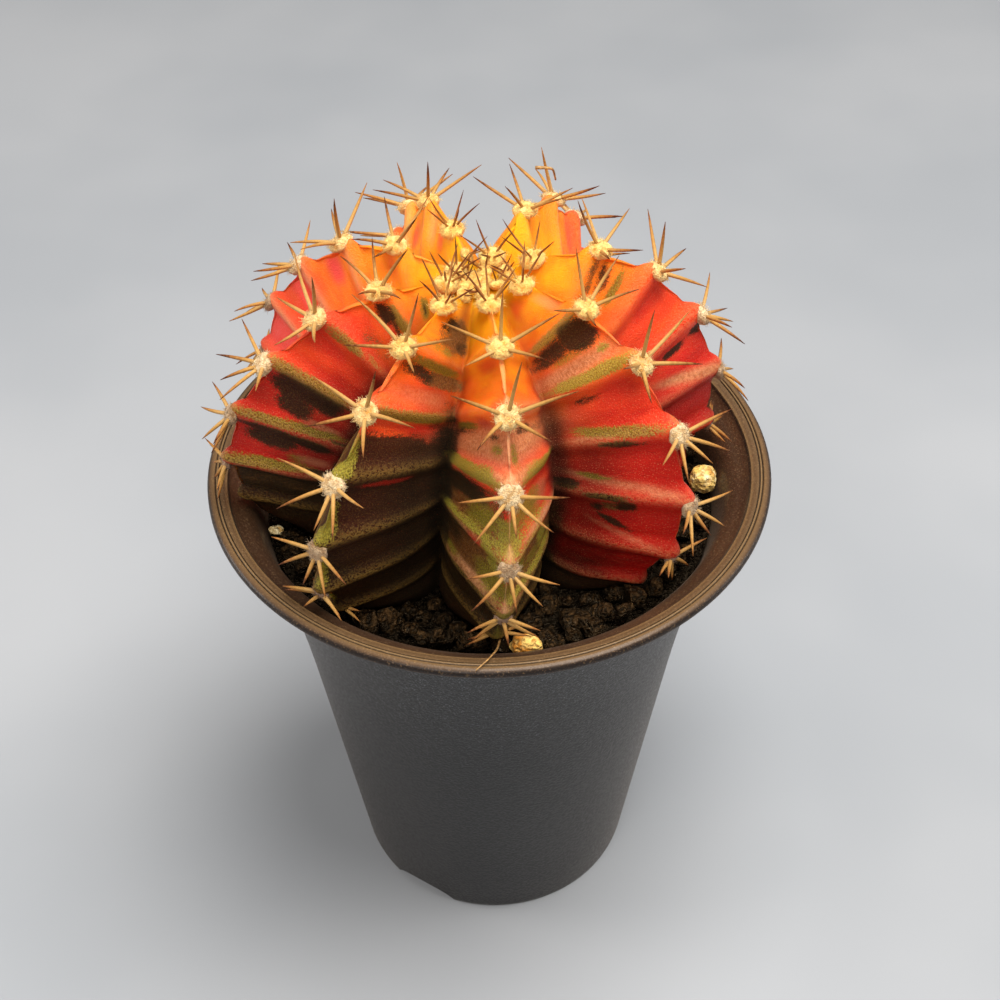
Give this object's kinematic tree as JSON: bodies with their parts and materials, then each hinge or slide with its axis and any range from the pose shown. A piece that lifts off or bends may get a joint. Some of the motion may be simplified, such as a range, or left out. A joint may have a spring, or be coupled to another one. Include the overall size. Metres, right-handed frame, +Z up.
{
  "type": "potted moon cactus",
  "caption": "Globe cactus with sharp notched ribs, woolly areoles and spines, standing in dark crumbly soil in a slim round plastic pot with a flared double-banded rim.",
  "frame": {"origin": "middle of the flat round bottom of the pot, on the surface that it stands on", "axes": "+Z up along the axis of the pot, -Y towards the front, where one rib faces the viewer, +X to the viewer's right"},
  "size_m": [0.08, 0.08, 0.1224],
  "materials": {
    "pot": "matte",
    "soil": "matte",
    "cactus": "satin",
    "grit": "matte"
  },
  "bodies": {
    "root": {"pot": "pot", "soil": "soil", "cactus": "cactus", "grit_right": "grit", "grit_front": "grit", "grit_left": "grit"}
  },
  "joints": []
}
